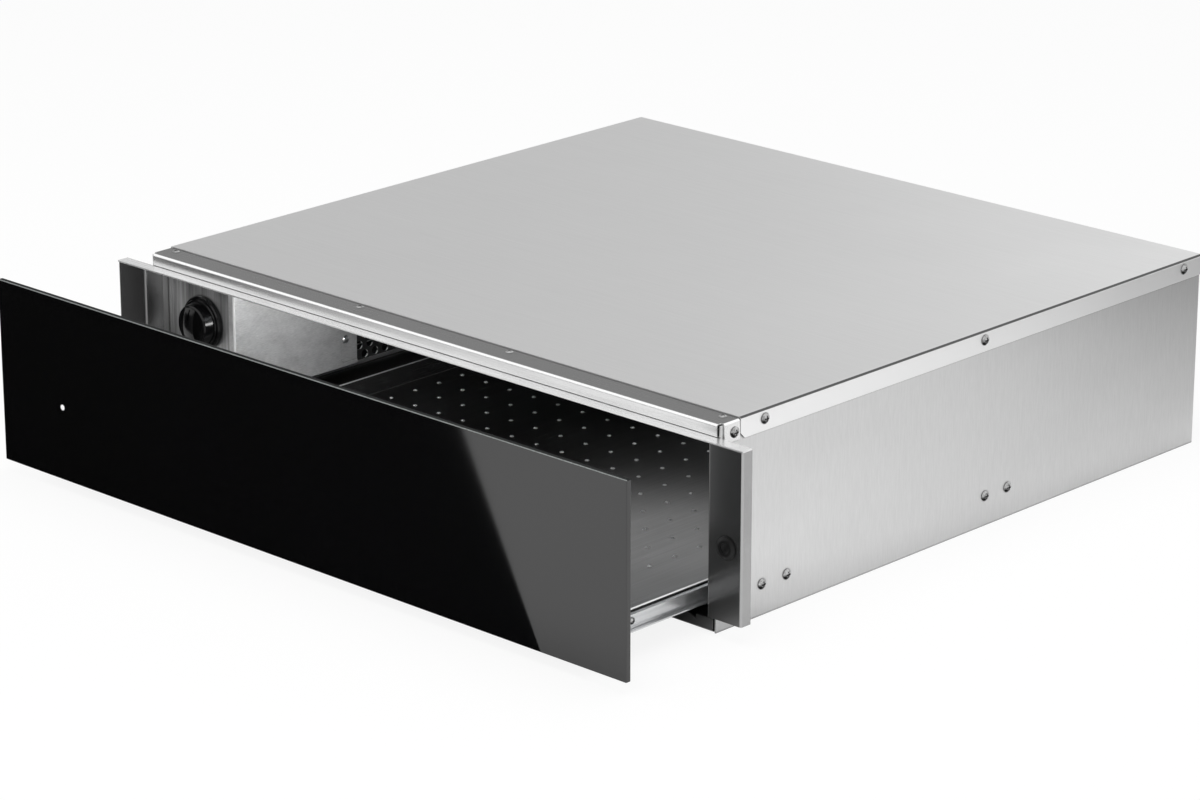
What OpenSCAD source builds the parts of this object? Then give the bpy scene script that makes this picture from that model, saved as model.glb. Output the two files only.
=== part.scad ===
// Built-in warming drawer of the 600 mm kitchen class, standing in its niche with the drawer
// part open. A folded steel cabinet holds a shallow tray on ball slides. On the left a control
// box and an air duct with a fan, a ring heater and a perforated wall hang over the tray. X runs
// right and Y back, as seen from the front, and Z up. The origin is on the underside, mid
// width, in the plane of the furniture's front edges.

/* [Cabinet] */
// Height of the cabinet
cabinet_h = 140; // [136:1:160]
// Depth behind the furniture's front edge
body_d = 505; // [495:1:545]
// Thickness of the folded sheet
sheet = 1; // [0.8:0.05:1.1]
// Inner radius of a fold
fold_r = 0.8; // [0.4:0.1:1]
// Height of the lip at the front of the base
base_lip = 9; // [6:0.5:11]
// Height of the base's side flanges
base_flange = 11; // [8:0.5:12]
// How far the base stands ahead of the furniture's front edge
base_set = 2.4; // [1:0.1:4]
// Width of the flanges that join hidden panels
joint_flange = 12; // [8:1:16]

/* [Cover and lining] */
// Distance from the furniture's front edge back to the cover
cover_set = 18; // [15:0.5:24]
// Height of the cover's side flanges
cover_flange = 14.7; // [12:0.1:20]
// Depth of the space for the insulation mat, from the cover's top to the lining's underside
lining_drop = 11; // [9:0.5:16]

/* [Front frame] */
// Width over the two posts
frame_w = 592; // [580:1:595]
// How far the posts reach out past the side panels
frame_reach = 27; // [20:0.5:34]
// Drop from the cabinet's top to the frame's top
frame_drop = 10; // [8:0.5:12]
// Depth of the frame ahead of the furniture
frame_depth = 9; // [7:0.5:12]
// Height of the lower end of a post
post_foot = 13; // [12:0.5:18]
// Depth of a post's inner return
post_return = 16; // [12:0.5:19]
// How far the top rail stands ahead of the furniture's front edge
rail_set = 1; // [0:0.1:3]
// Width of the rail's end tabs
rail_tab_w = 14.5; // [12:0.5:15]
// Height of the rail's end tabs
rail_tab_h = 14.5; // [13:0.5:18]
// Diameter of a rubber buffer
buffer_d = 15; // [12:0.5:18]
// Thickness of a rubber buffer
buffer_h = 2.2; // [1.5:0.1:3]
// Height of the buffers and fixing holes
buffer_z = 63.5; // [50:0.5:80]
// Distance of the fixing holes from the frame's outer edge
fixing_in = 12.5; // [11:0.5:14]
// Diameter of the fixing holes
fixing_d = 4.5; // [4:0.1:5.5]

/* [Drawer front] */
// Width of the glass
glass_w = 595; // [592:1:598]
// Height of the glass
glass_h = 131.5; // [128:0.5:134]
// Thickness of the glass
glass_t = 4; // [3:0.5:5]
// Height of the glass's lower edge
glass_foot = 8; // [6:0.5:9]
// Depth of the steel carrier behind the glass
carrier_d = 7.5; // [6:0.5:9]
// Width of the carrier's glued lips
carrier_lip = 12; // [8:1:16]
// Thickness of the bonding tape
tape_t = 1; // [0.8:0.1:1.4]

/* [Drawer] */
// How far the drawer stands open in the resting pose
rest_open = 100; // [60:5:140]
// Length of the tray
tray_l = 455; // [430:1:456]
// Height of the tray's underside
tray_z = 15.7; // [15:0.1:16.5]
// Height of the tray's walls
tray_h = 15.7; // [14:0.1:18]
// Inner radius of the tray's lower corners
tray_r = 4.5; // [3:0.5:5]
// Gap between the control cover and the tray's divider
divider_gap = 3.7; // [2:0.1:6]
// Height of the folded hem along a rim
hem_h = 4; // [3:0.5:5]
// Thickness of the floor plate
floor_t = 0.8; // [0.6:0.1:1.2]

/* [Floor dimples] */
// Spacing of the dimples across the drawer
dimple_across = 24.4; // [20:0.1:30]
// Spacing of the dimples along the drawer
dimple_along = 24; // [20:0.1:30]
// Diameter of a dimple
dimple_d = 3.2; // [2:0.1:4]
// Height of a dimple
dimple_h = 0.8; // [0.5:0.1:1]
// Distance of the first dimples from the divider
dimple_left = 15.5; // [10:0.5:22]
// Distance of the first dimples from the front of the floor
dimple_front = 28.5; // [12:0.5:30]
// Smooth border on the right of the floor
smooth_border = 60; // [40:1:80]

/* [Slides] */
// Length of the slides
slide_l = 450; // [420:1:450]
// Height of a slide's tray member
inner_h = 12; // [7:0.5:13]
// Width of a slide's tray member
inner_w = 4.5; // [4:0.1:5.5]
// Height of the slides' centre line
slide_z = 24.4; // [23.5:0.1:25]
// Space for a slide between the tray and the post
slide_room = 10.5; // [10:0.1:12]
// Gap that the balls run in
ball_gap = 2.5; // [2.2:0.1:2.8]
// Diameter of the balls
ball_d = 2.2; // [1.6:0.1:2.2]
// Spacing of the balls
ball_pitch = 11; // [8:1:16]
// Length of a ball cage
cage_l = 132; // [110:2:136]
// Distance of the first runner screw from the slide's front end
runner_screw_set = 32.5; // [25:0.5:40]
// Spacing of the two runner screws of a pair
runner_screw_pair = 24; // [16:0.5:32]
// Spacing of the front and rear pairs of runner screws
runner_screw_span = 226.5; // [180:0.5:300]

/* [Control box] */
// Width of the control box and air duct
control_w = 68; // [64:1:72]
// Distance from the furniture's front edge back to the fascia
fascia_set = 13; // [12.5:0.5:16]
// Depth of the control box
control_l = 114; // [105:1:120]
// Height of the control box's underside
control_foot = 43.2; // [42:0.1:48]
// Distance of the knob's axis from the side panel's inner face
knob_in = 38; // [34:0.5:42]
// Height of the knob's axis
knob_z = 93.5; // [88:0.5:98]
// Diameter of the knob's skirt
knob_d = 38.4; // [34:0.2:42]
// Depth of the knob
knob_depth = 16; // [14:0.5:20]
// Width of the knob's grip bar
grip_w = 10; // [8:0.5:12]
// Diameter of the knob's spindle
spindle_d = 6; // [5:0.5:6.5]
// Distance of the indicator lamp's axis from the side panel's inner face
lamp_in = 35; // [32:0.5:38]
// Height of the indicator lamp
lamp_z = 61; // [56:0.5:64]
// Diameter of the indicator lamp
lamp_d = 8; // [6:0.5:9]

/* [Air duct] */
// Length of the air duct behind the control box
duct_l = 303; // [260:1:315]
// Height of the duct's open underside
duct_foot = 44.2; // [43:0.1:50]
// Diameter of the air holes
hole_d = 6.2; // [4:0.2:6.6]
// Spacing of the air holes in a row
hole_pitch = 10.2; // [9:0.1:14]
// Spacing of the rows of air holes
hole_rise = 7.3; // [6.8:0.1:10]

/* [Fan and heater] */
// Distance from the furniture's front edge to the fan's axis
fan_y = 280; // [240:1:320]
// Room between the heater's ring and the ceiling lining
heater_over = 2.75; // [2:0.25:6]
// Room between the heater's ring and the duct's open underside
heater_under = 3.55; // [2:0.05:6]
// Room between the fan wheel and the heater's ring
wheel_room = 2.75; // [2:0.25:8]
// Width of the fan wheel
fan_w = 14; // [10:0.5:16]
// Number of blades
blades = 18; // [10:1:24]
// How far the motor's rim lies inside the fan wheel's
motor_in = 4; // [3:0.5:8]
// Length of the motor
motor_l = 20; // [16:0.5:22]
// Diameter of the motor shaft
shaft_d = 4; // [3:0.5:5]
// Diameter of the heater tube
heater_tube = 6.5; // [5:0.5:7]

/* [Touch latch] */
// Diameter of the latch plunger
plunger_d = 8; // [6:0.5:10]
// Travel of the latch plunger
plunger_travel = 6; // [4:0.5:7]
// Thickness of the striker on the tray
striker_t = 2; // [1.5:0.1:3]

/* [Supply] */
// Distance of the cable inlet from the side panel's inner face
inlet_in = 28; // [24:0.5:34]
// Height of the cable inlet
inlet_z = 100; // [95:0.5:110]
// Bore of the cable inlet
inlet_d = 8; // [7:0.5:9]

/* [Hidden] */
$fn = 48;

gap = 0.1;                                       // assembly clearance of fixed pieces
run_gap = 0.3;                                   // clearance of moving pieces
shaft_gap = 0.05;                                // radial clearance of a running shaft
fold_o = fold_r + sheet;                         // outer radius of a fold
frame_half = frame_w / 2;
side_out = frame_half - frame_reach;             // outer face of a side panel
side_in = side_out - sheet;                      // inner face of a side panel
post_in = side_in - sheet;                       // inner face of a post's return
side_top = cabinet_h - 2 * sheet - 2 * gap;      // top edge of a side panel
rear_y = body_d - 2 * sheet;                     // inner face of the rear panel
frame_top = cabinet_h - frame_drop;
post_top = frame_top - sheet;
lining_z = cabinet_h - lining_drop;              // underside of the ceiling lining
rail_top = cabinet_h - sheet;
rail_foot = 10;                                  // depth of the rail's lower flange
rail_back = cover_set + 20;                      // rear edge of the rail's top flange
rail_screw_y = cover_set - 4.5;
rail_screw_x = [-0.963, -0.264, 0.264, 0.963] * side_out;
tab_front = cover_set - 0.5 - rail_tab_w;

screw_r = 1.6;                                   // shank radius of the housing screws
head_r = 3.7;                                    // head radius of the housing screws
head_h = 2.2;
small_head_r = 2.2;                              // heads inside the slides and on the rail
small_head_h = 1;
cover_screw_z = cabinet_h - 6.5;
cover_screw_y = [cover_set + 23, body_d / 2 + 9, body_d - 22];
tab_screw = [tab_front + rail_tab_w / 2 + 2, cabinet_h - 8.6];
rear_screw_x = [-0.75, 0, 0.75] * side_out;

// the drawer, given where it stands when closed
tray_half = post_in - slide_room;                // outer face of the tray's walls
glass_back = -frame_depth - buffer_h - run_gap;
carrier_front = glass_back + tape_t;
carrier_back = carrier_front + carrier_d;
carrier_half = post_in - 5;
carrier_foot = post_foot + 1;
carrier_top = post_top - 4;
tray_front = carrier_back;
tray_end = tray_front + tray_l;
tray_floor = tray_z + sheet;
floor_z = tray_floor + floor_t;
tray_rim = tray_z + tray_h;
cover_x = -(side_in - control_w);                // left face of the air wall and cover line
divider_x = cover_x + 2 * sheet + divider_gap + sheet;
floor_left = divider_x + 2 * gap;
floor_right = tray_half - sheet - tray_r - 2 * gap;
floor_front = tray_front + sheet + 2 * gap;
floor_end = tray_end - sheet - 2 * gap;
bracket_reach = 25;                              // length of a front bracket along the tray
bracket_h = 50;

// slides: outer member on the side panel, inner member on the tray, ball cage between them
slide_front = post_return - frame_depth + 1.5;
inner_front = tray_front + 5;
outer_h = inner_h + 2 * ball_gap + 2 * sheet;
outer_w = side_in - tray_half - 2;
cage_t = 0.8;
cage_start = inner_front + slide_l / 3 + 13;     // where the cages start when closed
runner_screw_z = slide_z - 2.8;
runner_front = slide_front + runner_screw_set;
runner_screw_y = [for (y = [0, runner_screw_span]) for (p = [0, runner_screw_pair])
    runner_front + y + p];
tray_screw_y = [35, 0.4 * tray_l, 0.72 * tray_l, tray_l - 25];
carrier_screw_x = [-0.9, -0.4, 0.4, 0.9] * tray_half;
carrier_screw_z = tray_z + 9;

control_right = cover_x;                         // right face of the control box
fascia_y = fascia_set;
control_end = fascia_y + control_l;
duct_end_y = control_end + duct_l;
knob_x = -side_in + knob_in;
lamp_x = -side_in + lamp_in;
skirt_h = 4;                                     // depth of the knob's skirt
grip_h = 3.5;                                    // how far the grip bar stands out
thermostat_w = 34;
thermostat_d = 24;
bush_d = spindle_d + 3.4;
cover_screw_in = 11;                             // control cover screws from its rear edge
cover_overlap = 2;                               // control cover beyond the control box
cover_tab = 16;                                  // set-back tab at the rear of the cover
control_screw_y = control_end + cover_overlap - cover_screw_in;
control_screw_z = [control_foot + 19.8, lining_z - 16];
wall_front = control_end - 8;
wall_flange = 9;                                 // width of the air wall's upper flange
wall_top = lining_z - gap;
bulb_x = cover_x - 6;
bulb_z = duct_foot + 14;

ring_out = lining_z - heater_over - duct_foot - heater_under;     // over the heater's ring
heater_d = ring_out - heater_tube;               // at the tube's centre line
fan_z = duct_foot + heater_under + ring_out / 2; // height of the fan's axis
fan_d = heater_d - heater_tube - 2 * wheel_room;
motor_d = fan_d - 2 * motor_in;
heater_x = -side_in + 42;
wheel_x = -side_in + 31;                         // rear face of the fan wheel
motor_base = 1.5;
leg_z = -0.94 * heater_d / 2;                    // heater legs below the fan's axis
leg_y = 0.34 * heater_d / 2;

latch_z = tray_rim - 8;
latch_w = 28;
plunger_tip = tray_end + striker_t + run_gap + gap;
latch_front = plunger_tip + plunger_travel + 3;
plunger_end = rear_y - plunger_travel - 8;
inlet_x = -side_in + inlet_in;
inlet_r = inlet_d / 2 + 3;                       // outer radius of the gland's barrel
loom_x = -side_in + 6;
loom_z = control_foot - 4;
loom_r = 2.5;
loom_rise_y = fascia_y + 87;

steel = [0.78, 0.78, 0.78];
steel_dark = [0.5, 0.5, 0.52];
steel_bright = [0.88, 0.88, 0.89];
zinc = [0.68, 0.7, 0.72];
plastic_black = [0.08, 0.08, 0.09];

// ---- sheet metal and placing helpers ----

// A profile along X: the outline's x and y become Y and Z
module along_x(x0, x1) {
    translate([x0, 0, 0]) rotate([90, 0, 90]) linear_extrude(x1 - x0) children();
}

// A profile along Y: the outline's x and y become X and Z
module along_y(y0, y1) {
    translate([0, y1, 0]) rotate([90, 0, 0]) linear_extrude(y1 - y0) children();
}

// A folded strip with its sheet on the left of the path; a turn is 1 to the left, -1 to the right
module folded(legs, turns, i = 0) {
    square([legs[i], sheet]);
    if (i < len(turns))
        translate([legs[i], turns[i] > 0 ? fold_o : -fold_r]) {
            intersection() {
                difference() {
                    circle(r = fold_o);
                    circle(r = fold_r);
                }
                translate([0, turns[i] > 0 ? -fold_o : 0]) square(fold_o);
            }
            translate([turns[i] > 0 ? fold_o : fold_r, 0])
                rotate(90 * turns[i]) folded(legs, turns, i + 1);
        }
}

module mirrored() {
    mirror([1, 0, 0]) children();
}

module both_sides() {
    children();
    mirrored() children();
}

module facing_right(x, y, z) {
    translate([x, y, z]) rotate([0, 90, 0]) children();
}

module facing_front(x, y, z) {
    translate([x, y, z]) rotate([90, 0, 0]) children();
}

module facing_back(x, y, z) {
    translate([x, y, z]) rotate([-90, 0, 0]) children();
}

module pan_screw(r, h, shank_r, shank_l) {
    dome = (r * r + h * h) / (2 * h) + 0.6;
    difference() {
        intersection() {
            cylinder(h = h, r = r);
            translate([0, 0, h - dome]) sphere(r = dome);
        }
        for (a = [0, 90]) rotate(a)
            translate([-0.55 * r, -0.13 * r, 0.45 * h]) cube([1.1 * r, 0.26 * r, h]);
    }
    translate([0, 0, -shank_l]) cylinder(h = shank_l, r = shank_r);
}

module rod(a, b, r) {
    v = b - a;
    translate(a) rotate([0, acos(v.z / norm(v)), atan2(v.y, v.x)]) cylinder(h = norm(v), r = r);
}

module wire(points, r) {
    for (i = [1 : len(points) - 1]) rod(points[i - 1], points[i], r);
    for (i = [1 : len(points) - 2]) translate(points[i]) sphere(r = 1.03 * r);
}

module drawer() {
    translate([0, -rest_open, 0]) children();
}

// ---- cabinet ----

module base_pan() color(steel) {
    relief = 2;
    notch_x = tray_half - 13;
    difference() {
        union() {
            along_x(-side_in, side_in)
                translate([-base_set, base_lip]) rotate(-90)
                    folded([base_lip - fold_o, rear_y + base_set - fold_o], [1]);
            both_sides() translate([side_in - sheet, relief, 0])
                cube([sheet, rear_y - joint_flange - 2 * relief, base_flange]);
        }
        both_sides() {
            translate([side_in - relief, -base_set - 1, -1])
                cube([relief + 1, fold_o + 1, base_lip + 2]);
            along_y(-base_set - 1, 0) translate([notch_x, base_lip])
                polygon([[0, 1], [0, 0], [8, -3], [8.5, -3], [8.5, 1]]);
        }
    }
}

module side_panel() color(steel) {
    toe = post_foot - 1;
    difference() {
        along_x(side_in, side_out) polygon([
            [-base_set, 0], [-base_set, toe - base_set], [run_gap, toe], [run_gap, side_top],
            [rear_y, side_top], [rear_y, 0]
        ]);
        for (y = runner_screw_y) screw_hole(y, runner_screw_z);
        for (y = cover_screw_y) screw_hole(y, cover_screw_z);
        screw_hole(tab_screw[0], tab_screw[1]);
    }
}

// A screw hole through the side panel and what lies on it
module screw_hole(y, z) {
    facing_right(tray_half, y, z) cylinder(h = frame_half - tray_half, r = screw_r + gap);
}

module side_panel_right() side_panel();
module side_panel_left() mirrored() side_panel();

module rear_panel() color(zinc) {
    slot_h = 24;
    difference() {
        union() {
            along_x(-side_in + fold_o, side_in - fold_o)
                translate([rear_y + sheet - joint_flange, sheet])
                    folded([joint_flange - fold_o, side_top - sheet - 2 * fold_o,
                            joint_flange - fold_o], [1, 1]);
            both_sides() linear_z(base_flange + 1, side_top - fold_o - 2)
                translate([side_in, rear_y + sheet - joint_flange]) rotate(90)
                    folded([joint_flange - fold_o, sheet], [1]);
        }
        facing_back(inlet_x, rear_y - 1, inlet_z) cylinder(h = sheet + 2, r = inlet_r + gap);
        for (x = rear_screw_x)
            facing_back(x, rear_y - 1, cover_screw_z) cylinder(h = 4, r = screw_r + gap);
        latch_screw_holes();
        for (i = [0 : 11]) along_y(rear_y - 1, rear_y + 3)
            translate([cover_x - 8 + 9 * i, inlet_z - slot_h]) vent_slot(slot_h);
    }
}

module linear_z(z0, z1) {
    translate([0, 0, z0]) linear_extrude(z1 - z0) children();
}

module vent_slot(h) {
    w = 3.5;
    translate([-w / 2, w / 2]) square([w, h - w]);
    for (y = [w / 2, h - w / 2]) translate([0, y]) circle(d = w);
}

module top_cover() color(steel_bright) {
    corner = 4;
    cover_out = side_out + sheet;
    difference() {
        union() {
            along_y(cover_set, body_d - fold_o)
                translate([cover_out, cabinet_h - cover_flange]) rotate(90)
                    folded([cover_flange - fold_o, 2 * (cover_out - fold_o),
                            cover_flange - fold_o], [1, 1]);
            along_x(fold_o - cover_out, cover_out - fold_o)
                translate([body_d - fold_o - sheet, cabinet_h]) mirror([0, 1])
                    folded([sheet, cover_flange - fold_o], [1]);
        }
        both_sides() {
            along_x(side_out - 1, cover_out + 1)
                translate([cover_set, cabinet_h - cover_flange])
                    polygon([[-1, -1], [corner, -1], [corner, 0], [0, corner], [-1, corner]]);
            for (y = cover_screw_y) screw_hole(y, cover_screw_z);
        }
        for (x = rear_screw_x)
            facing_back(x, rear_y - 1, cover_screw_z) cylinder(h = 4, r = screw_r + gap);
    }
}

module ceiling_lining() color(steel) {
    front_z = rail_top - 2 * sheet;
    step = cover_set + 6;
    drop = front_z - lining_z;
    difference() {
        union() {
            along_x(-side_in, side_in)
                translate([3, front_z])
                    folded([step - 3 - fold_r, drop - fold_r - fold_o,
                            rear_y - joint_flange - 4 - step - fold_o], [-1, 1]);
            both_sides() translate([side_in - sheet, step + 8, lining_z])
                cube([sheet, rear_y - joint_flange - 12 - step, drop]);
        }
        for (x = rail_screw_x)
            translate([x, rail_screw_y, front_z - 1]) cylinder(h = 4, r = screw_r + gap);
        both_sides() for (y = cover_screw_y) screw_hole(y, cover_screw_z);
    }
}

module insulation_mat() color([0.86, 0.82, 0.66]) {
    edge = 3;
    linear_z(lining_z + sheet, cabinet_h - sheet - 2 * gap)
        translate([-side_in + edge, rail_back + 2])
            square([2 * (side_in - edge), rear_y - joint_flange - rail_back - 10]);
}

module front_rail() color(steel_bright) {
    rail_h = rail_top - frame_top;
    difference() {
        union() {
            along_x(-post_in, post_in)
                translate([rail_back, rail_top]) rotate(180)
                    folded([rail_back + rail_set - fold_o, rail_h - 2 * fold_o,
                            rail_foot + rail_set - fold_o], [1, 1]);
            both_sides() along_y(tab_front, tab_front + rail_tab_w)
                translate([side_out + sheet, cabinet_h - rail_tab_h]) rotate(90)
                    folded([rail_tab_h - sheet - fold_o, side_out + sheet - post_in - fold_o], [1]);
        }
        for (x = rail_screw_x)
            translate([x, rail_screw_y, rail_top - 2]) cylinder(h = 4, r = screw_r + gap);
        both_sides() screw_hole(tab_screw[0], tab_screw[1]);
    }
}

module frame_lip() color(steel_bright) {
    ear = frame_half - side_in;
    linear_z(post_top, frame_top) difference() {
        translate([-frame_half, -frame_depth]) square([frame_w, frame_depth + rail_foot]);
        both_sides() translate([side_in - gap, 0]) square([ear + 1, rail_foot + 1]);
    }
}

module post() color(steel_dark) {
    difference() {
        linear_z(post_foot, post_top)
            translate([post_in, post_return - frame_depth]) rotate(-90)
                folded([post_return - fold_o, frame_half - post_in - 2 * fold_o,
                        frame_depth - fold_o], [1, 1]);
        fixing_hole(fixing_d / 2);
    }
}

module fixing_hole(r) {
    facing_front(frame_half - fixing_in, 0, buffer_z) cylinder(h = 2 * frame_depth, r = r);
}

module post_right() post();
module post_left() mirrored() post();

module front_buffers() color(plastic_black) both_sides() difference() {
    facing_front(frame_half - fixing_in, -frame_depth, buffer_z) {
        cylinder(h = buffer_h / 2, d = buffer_d);
        translate([0, 0, buffer_h / 2])
            cylinder(h = buffer_h / 2, d1 = buffer_d, d2 = buffer_d - 2 * buffer_h);
    }
    fixing_hole(fixing_d / 2 + 1.3);
}

// ---- controls ----

module control_box() color(steel) difference() {
    union() {
        along_x(-side_in, control_right)
            translate([fascia_y, lining_z - gap]) rotate(-90)
                folded([lining_z - gap - control_foot - fold_o, control_l - 2 * fold_o,
                        lining_z - gap - control_foot - fold_o], [1, 1]);
        translate([-side_in, fascia_y + fold_o + 1, control_foot + sheet / 2])
            cube([sheet, control_l - 2 * fold_o - 2, joint_flange]);
    }
    facing_back(knob_x, fascia_y - 1, knob_z) cylinder(h = sheet + 2, d = bush_d + 2 * gap);
    facing_back(lamp_x, fascia_y - 1, lamp_z) cylinder(h = sheet + 2, d = lamp_d + 2 * gap);
    facing_back(bulb_x, control_end - 2, bulb_z) cylinder(h = 4, r = 1.6);
    translate([loom_x, loom_rise_y, control_foot - 1]) cylinder(h = sheet + 2, r = loom_r + 0.5);
}

module control_cover() color(steel_bright) {
    edge = 3.5;
    length = control_l + cover_overlap + sheet;
    tab_y = fascia_y - sheet + length - cover_tab;
    difference() {
        linear_z(control_foot, lining_z - gap)
            translate([cover_x - edge, fascia_y - sheet])
                folded([edge + 2 * sheet - fold_o, length - fold_o], [1]);
        // the rear tab is set back by a fraction of the sheet and has a round lower corner
        translate([cover_x + 2 * sheet - 0.3, tab_y, control_foot + 3]) {
            translate([0, 3, 0]) cube([1, cover_tab, lining_z]);
            translate([0, 0, 3]) cube([1, cover_tab, lining_z]);
            translate([0, 3, 3]) rotate([0, 90, 0]) cylinder(h = 1, r = 3);
        }
        control_holes();
    }
}

module control_holes() {
    for (z = control_screw_z)
        facing_right(cover_x - 2, control_screw_y, z) cylinder(h = 6, r = screw_r + gap);
}

module thermostat() color(plastic_black) difference() {
    body_y = fascia_y + sheet;
    union() {
        along_y(body_y, body_y + thermostat_d)
            translate([knob_x, knob_z]) intersection() {
                square(thermostat_w, center = true);
                rotate(45) square(1.25 * thermostat_w, center = true);
            }
        facing_front(knob_x, body_y + 1, knob_z) cylinder(h = sheet + 3.5, d = bush_d);
        facing_front(knob_x, fascia_y, knob_z) cylinder(h = 2, d = 14, $fn = 6);
        for (x = [-9, 9], z = [-9, 9])
            translate([knob_x + x - 3, body_y + thermostat_d - 1, knob_z + z])
                cube([6, 9, 0.8]);
    }
    facing_back(knob_x, 0, knob_z)
        cylinder(h = body_y + thermostat_d - 4, d = spindle_d + 2 * shaft_gap);
}

module indicator_lamp() color([0.95, 0.95, 0.9]) facing_front(lamp_x, fascia_y, lamp_z) {
    translate([0, 0, -14]) cylinder(h = 14, d = lamp_d);
    cylinder(h = 1.2, d = lamp_d + 3);
    intersection() {
        translate([0, 0, 1.2]) cylinder(h = 2, d = lamp_d - 1.5);
        translate([0, 0, 3.2 - lamp_d]) sphere(r = lamp_d);
    }
    for (x = [-1.5, 1.5]) translate([x - 0.4, -1, -20]) cube([0.8, 2, 7]);
}

// ---- air duct, fan and heater ----

module air_wall() color(steel) {
    first_y = control_end + cover_overlap + hole_d / 2;
    first_z = duct_foot + hole_d / 2 + 0.5;
    columns = floor((duct_end_y - hole_d - first_y) / hole_pitch - 0.5);
    rows = floor((lining_z - fold_o - first_z - hole_d / 2) / hole_rise);
    difference() {
        union() {
            along_x(cover_x, cover_x + sheet) difference() {
                translate([wall_front, duct_foot])
                    square([duct_end_y + sheet - wall_front, wall_top - fold_o - duct_foot]);
                for (i = [0 : rows], j = [0 : columns])
                    translate([first_y + hole_pitch * (j + (1 - i % 2) / 2), first_z + hole_rise * i])
                        circle(d = hole_d);
            }
            along_y(control_end + gap, duct_end_y - gap)
                translate([cover_x + sheet, wall_top - fold_o - sheet]) rotate(90)
                    folded([sheet, wall_flange], [1]);
        }
        control_holes();
    }
}

module duct_end() color(steel) linear_z(duct_foot, lining_z - gap)
    translate([-side_in, duct_end_y + joint_flange]) rotate(-90)
        folded([joint_flange - fold_o, control_w - fold_o], [1]);

module at_fan() {
    translate([-side_in, fan_y, fan_z]) rotate([0, 90, 0]) children();
}

module fan_motor() color(zinc) at_fan() difference() {
    union() {
        linear_extrude(motor_base) {
            circle(d = motor_d + 2);
            square([14, motor_d + 24], center = true);
        }
        translate([0, 0, motor_base]) cylinder(h = motor_l, d = motor_d);
        cylinder(h = motor_base + motor_l + 4, d = 3 * shaft_d);
    }
    translate([0, 0, 4]) cylinder(h = motor_l + 8, d = shaft_d + 2 * shaft_gap);
    for (y = [-1, 1] * (motor_d / 2 + 8)) translate([0, y, -1]) cylinder(h = 4, r = 1.7);
    for (a = [0 : 30 : 330]) rotate(a)
        translate([motor_d / 2 - 2, -2, motor_base + 3]) cube([4, 4, motor_l - 6]);
}

module fan_shaft() color(steel_bright) at_fan()
    translate([0, 0, 4.5]) cylinder(h = wheel_x + side_in + fan_w + 2 - 4.5, d = shaft_d);

module fan_wheel() color(zinc) at_fan() translate([0, 0, wheel_x + side_in]) difference() {
    union() {
        cylinder(h = 1, d = fan_d);
        cylinder(h = fan_w, d = 3 * shaft_d);
        translate([0, 0, fan_w - 1]) difference() {
            cylinder(h = 1, d = fan_d);
            translate([0, 0, -1]) cylinder(h = 3, d = fan_d - 12);
        }
        for (i = [0 : blades - 1]) rotate(360 * i / blades)
            translate([fan_d / 2 - 1, 0, 0]) rotate(150) translate([0, -0.4, 0.5])
                cube([fan_d / 5, 0.8, fan_w - 1]);
    }
    translate([0, 0, -1]) cylinder(h = fan_w + 2, d = shaft_d + 0.04);
}

module ring_heater() color([0.35, 0.33, 0.32]) at_fan() {
    // local x runs down and local z to the right, away from the side panel
    translate([0, 0, heater_x + side_in]) rotate_extrude()
        translate([heater_d / 2, 0]) circle(d = heater_tube);
    for (y = [-leg_y, leg_y]) translate([-leg_z, y, gap]) {
        cylinder(h = heater_x + side_in - gap, d = heater_tube);
    }
    translate([-leg_z - 6, -leg_y - 7, gap]) cube([12, 2 * leg_y + 14, 1.2]);
}

module thermal_cutout() color(plastic_black)
    translate([-side_in, fan_y - 72, fan_z + 14]) rotate([0, 90, 0]) {
        cylinder(h = 7, d = 16);
        linear_extrude(1) square([8, 28], center = true);
        for (y = [-4, 4]) translate([-2.5, y - 0.4, 6]) cube([5, 0.8, 8]);
    }

module sensor_bulb() color([0.72, 0.45, 0.3]) {
    start = control_end + 40;
    bulb_l = 64;
    back = fascia_y + sheet + thermostat_d;
    facing_back(bulb_x, start, bulb_z) cylinder(h = bulb_l, d = 6);
    for (y = [12, bulb_l - 12]) translate([bulb_x, start + y - 3, bulb_z - 3.6])
        cube([cover_x - bulb_x, 6, 7.2]);
    wire([[bulb_x, start + 1, bulb_z], [bulb_x, back + 45, bulb_z],
          [knob_x + 6, back + 18, knob_z - 14], [knob_x + 6, back, knob_z - 14]], 1);
}

// ---- supply ----

module terminal_block() color([0.9, 0.9, 0.86]) {
    w = 34;
    h = 20;
    depth = 22;
    y0 = rear_y - depth;
    z0 = inlet_z - 42;
    difference() {
        translate([inlet_x - w / 2, y0, z0]) cube([w, depth, h]);
        for (i = [-1 : 1]) translate([inlet_x + 11 * i, 0, 0]) {
            translate([0, y0 + 7, z0 + 4]) cylinder(h = h, d = 6);
            facing_back(0, y0 - 1, z0 + 6) cylinder(h = 12, r = loom_r + gap);
        }
    }
}

module cable_gland() color(plastic_black) difference() {
    facing_back(inlet_x, rear_y, inlet_z) {
        translate([0, 0, -4]) cylinder(h = 4, d = 2 * inlet_r + 5, $fn = 6);
        translate([0, 0, -4]) cylinder(h = 12, r = inlet_r);
        translate([0, 0, sheet]) cylinder(h = 3, d = 2 * inlet_r + 6, $fn = 6);
        translate([0, 0, 8]) cylinder(h = 4, r1 = inlet_r, r2 = inlet_r - 1.5);
    }
    facing_back(inlet_x, rear_y - 5, inlet_z) cylinder(h = 20, d = inlet_d);
}

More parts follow.
